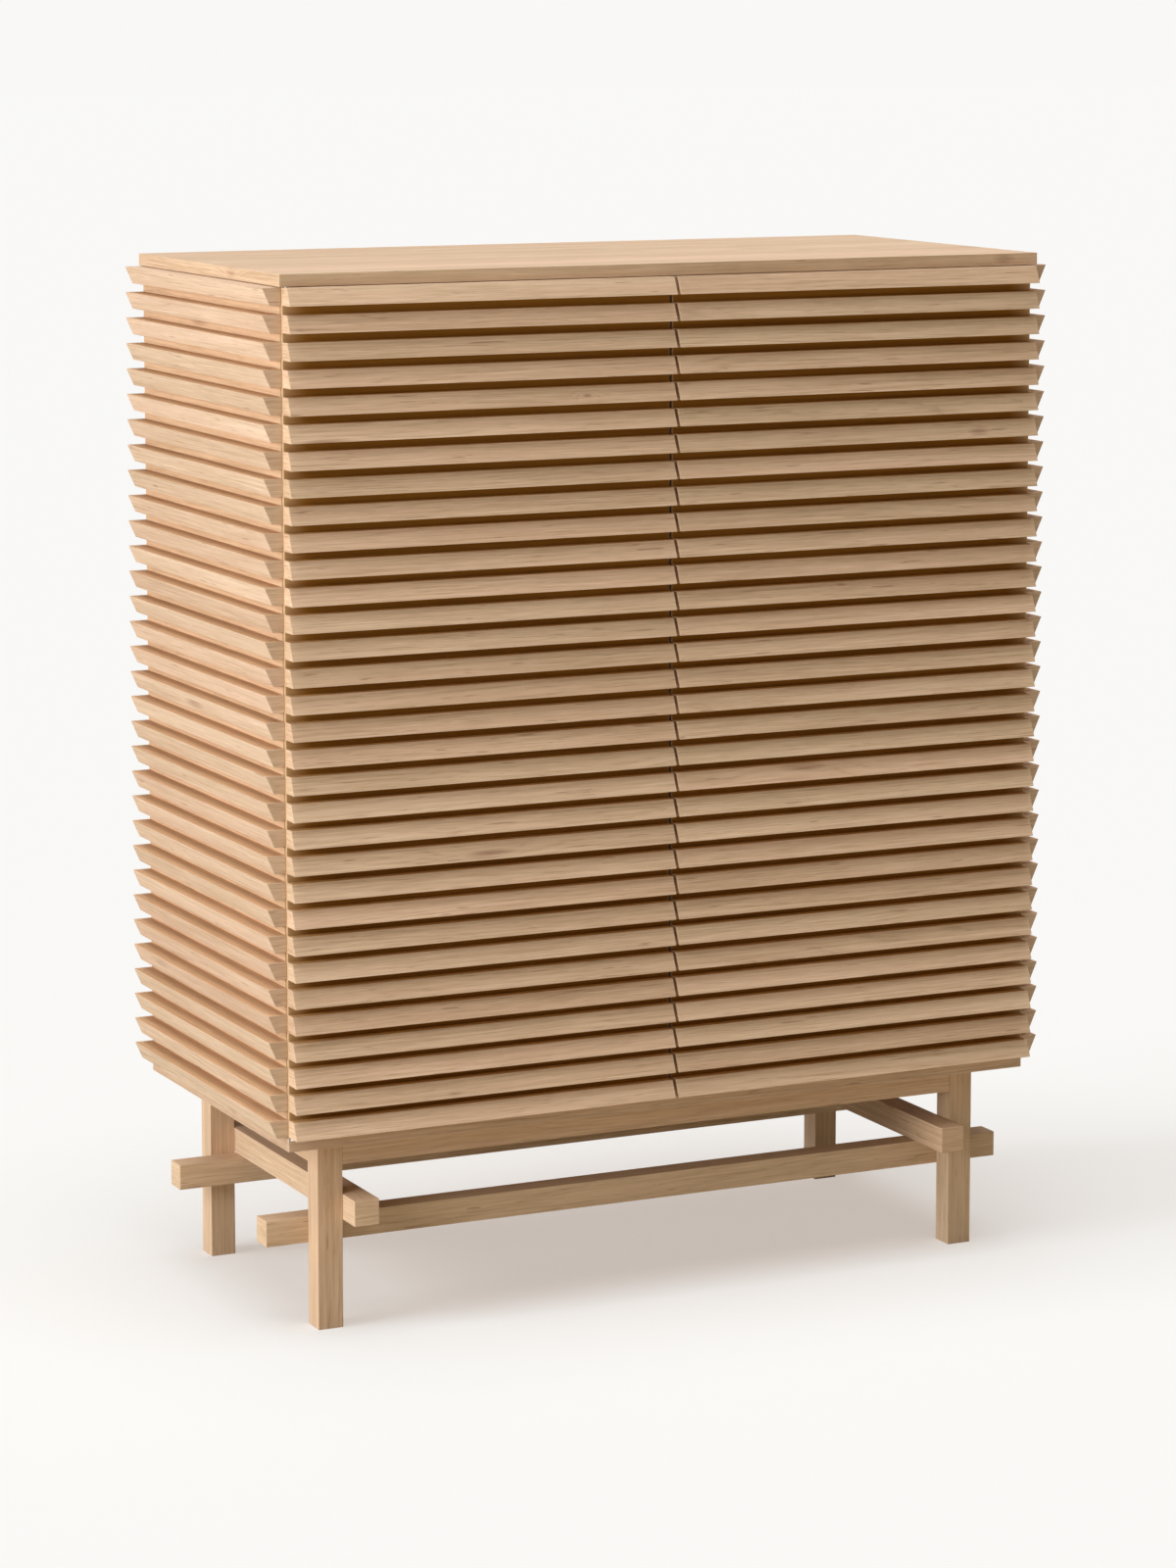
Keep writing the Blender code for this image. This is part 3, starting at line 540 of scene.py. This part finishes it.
def add_side_slats(name, side):
    node = f"{name}_side_slat_board"
    low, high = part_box(node)
    first, pitch = slat_rows(node)
    panel_low, panel_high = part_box(f"{name}_side_panel")
    inner, outer = (high.x, low.x) if side < 0 else (low.x, high.x)
    face = inner + side * SIDE_BOARD_THICKNESS
    mesh = bmesh.new()
    sections = slat_sections(first, pitch, face, side, SLAT_SLIM_EDGE, abs(outer - face))
    # The inner slats' tops and undersides, and the board behind them, take the painted shade of the gaps
    for row, section in enumerate(sections):
        add_bar(mesh, section, "Y", low.y, high.y, SLAT_EASE, slat_indices(row, 2, 1))
    board = ((inner, low.z), (face, low.z), (face, high.z), (inner, high.z))
    add_bar(mesh, board, "Y", panel_low.y, high.y, BOARD_EASE, (1,))
    boards = (materials["side_slat"], materials["side_board"], materials["side_back"])
    piece = add_piece(f"{name}_side_slats", mesh, boards, "case")
    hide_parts(node)


def add_screw(mesh, sizes, place, way):
    """A countersunk screw with a cross recess. Its head's face is at the place, and it points the way."""
    head, head_height, shank, length = sizes
    head -= SCREW_CLEARANCE
    shank -= SCREW_CLEARANCE
    rings = (
        (head, 0.0),
        (head, -0.1 * head_height),
        (shank, -head_height),
        (shank, -length + 2 * shank),
        (0.2 * shank, -length + SCREW_CLEARANCE),
    )
    turn = Vector(way).to_track_quat("-Z", "Y").to_matrix()

    def vertex(x, y, z):
        return mesh.verts.new(turn @ Vector((x, y, z)) + Vector(place))

    loops = []
    for radius, height in rings:
        angles = [math.tau * step / SCREW_SIDES for step in range(SCREW_SIDES)]
        loops.append([vertex(radius * math.cos(a), radius * math.sin(a), height) for a in angles])
    for upper, lower in zip(loops, loops[1:]):
        for step in range(SCREW_SIDES):
            after = (step + 1) % SCREW_SIDES
            mesh.faces.new((upper[step], lower[step], lower[after], upper[after]))
    mesh.faces.new(loops[-1])

    reach, half = CROSS_REACH * head, CROSS_HALF_WIDTH * head
    cross = []
    for x, y in ((1, 0), (0, 1), (-1, 0), (0, -1)):
        cross.append((reach * x + half * y, reach * y - half * x))
        cross.append((reach * x - half * y, reach * y + half * x))
        cross.append((half * (x - y), half * (x + y)))
    rim = [vertex(x, y, 0.0) for x, y in cross]
    depth = -CROSS_DEPTH * head_height
    foot = [vertex(CROSS_FLOOR * x, CROSS_FLOOR * y, depth) for x, y in cross]
    for step in range(len(cross)):
        after = (step + 1) % len(cross)
        mesh.faces.new((rim[step], rim[after], foot[after], foot[step]))
    mesh.faces.new(foot)
    outlines = []
    for loop in (loops[0], rim):
        for step, start in enumerate(loop):
            outlines.append(mesh.edges.get((start, loop[(step + 1) % len(loop)])))
    bmesh.ops.triangle_fill(mesh, edges=outlines, use_beauty=True)


def add_screws(name, body, sizes, places):
    mesh = bmesh.new()
    for place, way in places:
        add_screw(mesh, sizes, place, way)
    add_piece(name, mesh, [materials["steel"]], body)


def add_hinge_screws():
    """Two in each leaf: the case's leaves face the doors, and the doors' leaves face the case."""
    for kind, up_edge in (("case_leaf", "upper"), ("door_leaf", "lower")):
        for side in SIDES:
            places = []
            for edge in ("upper", "lower"):
                low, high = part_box(f"{side}_{edge}_{kind}")
                points_up = edge == up_edge
                height = low.z if points_up else high.z
                inner = min(abs(low.x), abs(high.x))
                for inset in (HINGE_SCREW_INSET, HINGE_SCREW_INSET + HINGE_SCREW_STEP):
                    place = (SIDES[side] * (inner + inset), high.y - HINGE_SCREW_INSET, height)
                    places.append((place, (0, 0, 1 if points_up else -1)))
            body = "case" if kind == "case_leaf" else f"{side}_door"
            add_screws(f"{side}_{kind}_screws", body, HINGE_SCREW, places)


def add_catch_screws():
    for side in SIDES:
        low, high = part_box(f"{side}_magnetic_catch")
        middle = (low.y + high.y) / 2
        inset = CATCH_EAR / 2
        places = []
        for x in (low.x + inset, high.x - inset):
            places.append(((x, middle, high.z - CATCH_EAR_THICKNESS), (0, 0, 1)))
        add_screws(f"{side}_catch_screws", "case", CATCH_SCREW, places)

        low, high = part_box(f"{side}_strike_plate")
        middle = (low.z + high.z) / 2
        places = []
        for x in (low.x + STRIKE_SCREW_INSET, high.x - STRIKE_SCREW_INSET):
            places.append(((x, high.y, middle), (0, -1, 0)))
        add_screws(f"{side}_strike_screws", f"{side}_door", STRIKE_SCREW, places)


def add_catch_magnets():
    """Two steel pole plates in each catch's face, just clear of the strike plate."""
    for side in SIDES:
        low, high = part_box(f"{side}_magnetic_catch")
        strike_low, strike_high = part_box(f"{side}_strike_plate")
        front, rear = (low.y + strike_high.y) / 2, low.y + POLE_SINK
        start, end = strike_low.x + POLE_INSET, strike_high.x - POLE_INSET
        height = strike_high.z - strike_low.z
        mesh = bmesh.new()
        for share in POLE_LOWER_EDGES:
            bottom = strike_low.z + share * height
            top = bottom + POLE_HEIGHT * height
            plate = ((front, bottom), (rear, bottom), (rear, top), (front, top))
            add_bar(mesh, plate, "X", start, end, POLE_EASE)
        add_piece(f"{side}_catch_poles", mesh, [materials["steel"]], "case")


def add_back_screws():
    """Into the side panels and the partition."""
    low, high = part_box("left_side_panel")
    column = abs(high.x) + BACK_SCREW_IN_SIDE
    first, last = low.z + BACK_SCREW_INSET, high.z - BACK_SCREW_INSET
    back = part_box("back_panel")[1].y
    places = []
    for row in range(BACK_SCREW_ROWS):
        height = first + row * (last - first) / (BACK_SCREW_ROWS - 1)
        for x in (-column, 0.0, column):
            places.append(((x, back, height), (0, -1, 0)))
    add_screws("back_screws", "case", BACK_SCREW, places)


def add_base_screws():
    """Up through the aprons into the bottom panel, their heads deep in open bores."""
    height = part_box("bottom_panel")[0].z + BASE_SCREW_IN_PANEL - BASE_SCREW[3]
    leg_low, leg_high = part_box("front_right_leg")
    rear_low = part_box("rear_right_leg")[0]
    places = []
    for apron in ("front_apron", "rear_apron"):
        low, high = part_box(apron)
        for share in BASE_SCREW_SHARES["long"]:
            places.append(((share * leg_low.x, (low.y + high.y) / 2, height), (0, 0, 1)))
    for side, sign in SIDES.items():
        for share in BASE_SCREW_SHARES["short"]:
            y = leg_high.y + share * (rear_low.y - leg_high.y)
            places.append(((sign * (leg_low.x + leg_high.x) / 2, y, height), (0, 0, 1)))
    add_screws("base_screws", "case", BASE_SCREW, places)


def dress_nodes():
    """Materials and eased edges for the CAD nodes."""
    slots = {row["node"]: row["material_slot"] for row in frame["record"]["subparts"]}
    kinds = {
        "top": ("top_panel",),
        "panel_x": ("bottom_panel", "shelf"),
        "panel_z": ("side_panel", "centre_partition"),
        "sheet_z": ("back_panel", "door_panel"),
        "oak_z": ("leg",),
        "oak_y": ("side_beam", "left_apron", "right_apron"),
    }
    for name, node in frame["nodes"].items():
        kind = slots[name]
        if kind not in ("steel", "plastic"):
            fitting = [key for key, words in kinds.items() if any(word in name for word in words)]
            kind = fitting[0] if fitting else "oak_x"
        node.data.materials.clear()
        node.data.materials.append(materials[kind])
        weld = node.modifiers.new("weld", "WELD")
        weld.merge_threshold = WELD_DISTANCE
        bevel = node.modifiers.new("ease", "BEVEL")
        bevel.width = NODE_EASES.get(kind, NODE_EASES["wood"])
        bevel.segments = 2
        bevel.limit_method = "ANGLE"
        bevel.angle_limit = math.radians(EASED_ANGLE)


# Stage


def light_path_share(tree):
    """1 for what the camera, reflections and glass see, and 0 for light that falls on the object."""
    path = add_node(tree, "ShaderNodeLightPath")
    seen = maths(tree, "MAXIMUM", path.outputs["Is Camera Ray"], path.outputs["Is Glossy Ray"])
    return maths(tree, "MAXIMUM", seen, path.outputs["Is Transmission Ray"])


def make_world():
    world = bpy.data.worlds.new("world")
    scene.world = world
    world.use_nodes = True
    tree = world.node_tree
    tree.nodes.clear()
    ambient = add_node(tree, "ShaderNodeBackground", {"Color": AMBIENT, "Strength": AMBIENT_STRENGTH})
    pale = add_node(tree, "ShaderNodeBackground", {"Color": PALE, "Strength": 1.0})
    seen = light_path_share(tree)
    both = add_node(tree, "ShaderNodeMixShader", {0: seen, 1: ambient.outputs[0], 2: pale.outputs[0]})
    output = add_node(tree, "ShaderNodeOutputWorld")
    tree.links.new(both.outputs[0], output.inputs["Surface"])


def make_floor():
    mesh = bmesh.new()
    bmesh.ops.create_grid(mesh, x_segments=8, y_segments=8, size=FLOOR_HALF_WIDTH)
    data = bpy.data.meshes.new("floor")
    mesh.to_mesh(data)
    mesh.free()
    material, tree, shader = new_material("floor")
    seen = light_path_share(tree)
    colour = blend(tree, seen, FLOOR_BOUNCE, FLOOR_LIT)
    tree.links.new(colour, shader.inputs["Base Color"])
    shader.inputs["Roughness"].default_value = 1.0
    shader.inputs["Specular IOR Level"].default_value = 0.0
    shader.inputs["Emission Color"].default_value = FLOOR_GLOW
    tree.links.new(seen, shader.inputs["Emission Strength"])
    data.materials.append(material)
    floor = bpy.data.objects.new("floor", data)
    floor.location.z = -FLOOR_DROP
    scene.collection.objects.link(floor)
    return floor


def pass_by(lamp, state, thing):
    """The lamp lights everything but the thing, or nothing but the thing."""
    chosen = bpy.data.collections.new(f"{lamp.name}_{state.lower()}")
    chosen.objects.link(thing)
    chosen.collection_objects[0].light_linking.link_state = state
    lamp.light_linking.receiver_collection = chosen


def add_sun(name, towards, strength, angle, colour):
    """A lamp far away. towards is the direction from the object to the lamp."""
    data = bpy.data.lights.new(name, "SUN")
    data.color = colour
    data.energy = strength * math.pi
    data.angle = math.radians(angle)
    lamp = bpy.data.objects.new(name, data)
    lamp.rotation_euler = Vector(towards).to_track_quat("Z", "Y").to_euler()
    lamp.location = Vector(towards) * 5
    scene.collection.objects.link(lamp)
    return lamp


def add_softbox(name, place, target, size, power, colour):
    """A square lamp near the object, which falls off across it."""
    data = bpy.data.lights.new(name, "AREA")
    data.shape = "SQUARE"
    data.size = size
    data.energy = power
    data.color = colour
    lamp = bpy.data.objects.new(name, data)
    lamp.location = place
    lamp.rotation_euler = (Vector(place) - Vector(target)).to_track_quat("Z", "Y").to_euler()
    scene.collection.objects.link(lamp)
    return lamp


make_camera()
scene.view_settings.view_transform = "Standard"
make_world()
floor = make_floor()
for lamp in [add_sun(*lamp) for lamp in OBJECT_SUNS] + [add_softbox(*SOFTBOX)]:
    pass_by(lamp, "EXCLUDE", floor)
for lamp in [add_sun(*lamp) for lamp in FLOOR_SUNS]:
    pass_by(lamp, "INCLUDE", floor)

first_slat, slat_pitch = slat_rows("left_door_slat_board")
slats = ("Z", first_slat - SLAT_GAP / 2, slat_pitch)
door_low, door_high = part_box("right_door_slat_board")
materials = {
    "door_slat": oak("door_slat", "X", slats, spots=SLAT_KNOTS),
    # Painted shade for the doors' gaps, with painted light at their open ends
    "door_board": painted_shade_oak("door_board", door_high.x, door_high.y - DOOR_BOARD_THICKNESS),
    "side_slat": oak("side_slat", "Y", slats, contrast=0.8, tint=(0.98, 1.01, 1.07)),
    # Painted shade in the side gaps: the board, and the slats' tops and undersides, toned warmer and darker
    # than the slats' faces
    "side_board": oak("side_board", "Y", contrast=0.8, tint=(1.05, 0.97, 0.89)),
    "side_back": oak("side_back", "Y", contrast=0.8, tint=(1.02, 0.92, 0.81)),
    "oak_x": oak("oak_x", "X", contrast=0.85),
    "oak_y": oak("oak_y", "Y", contrast=0.85),
    "oak_z": oak("oak_z", "Z", contrast=0.7),
    "top": oak(
        "top", "X", STAVES_ACROSS, edged=True, spots=TOP_KNOTS, contrast=0.8, tint=(1.05, 1.07, 1.09)
    ),
    "panel_x": oak("panel_x", "X", STAVES_ACROSS, edged=True, tint=(1.04, 1.06, 1.13)),
    "panel_z": oak("panel_z", "Z", STAVES_ACROSS),
    "sheet_z": oak("sheet_z", "Z", STAVES_ALONG),
    "steel": steel("steel"),
    "plastic": plastic("plastic"),
}
dress_nodes()
for side_name, side_sign in SIDES.items():
    add_door_slats(side_name)
    add_side_slats(side_name, side_sign)
add_hinge_screws()
add_catch_screws()
add_catch_magnets()
add_back_screws()
add_base_screws()
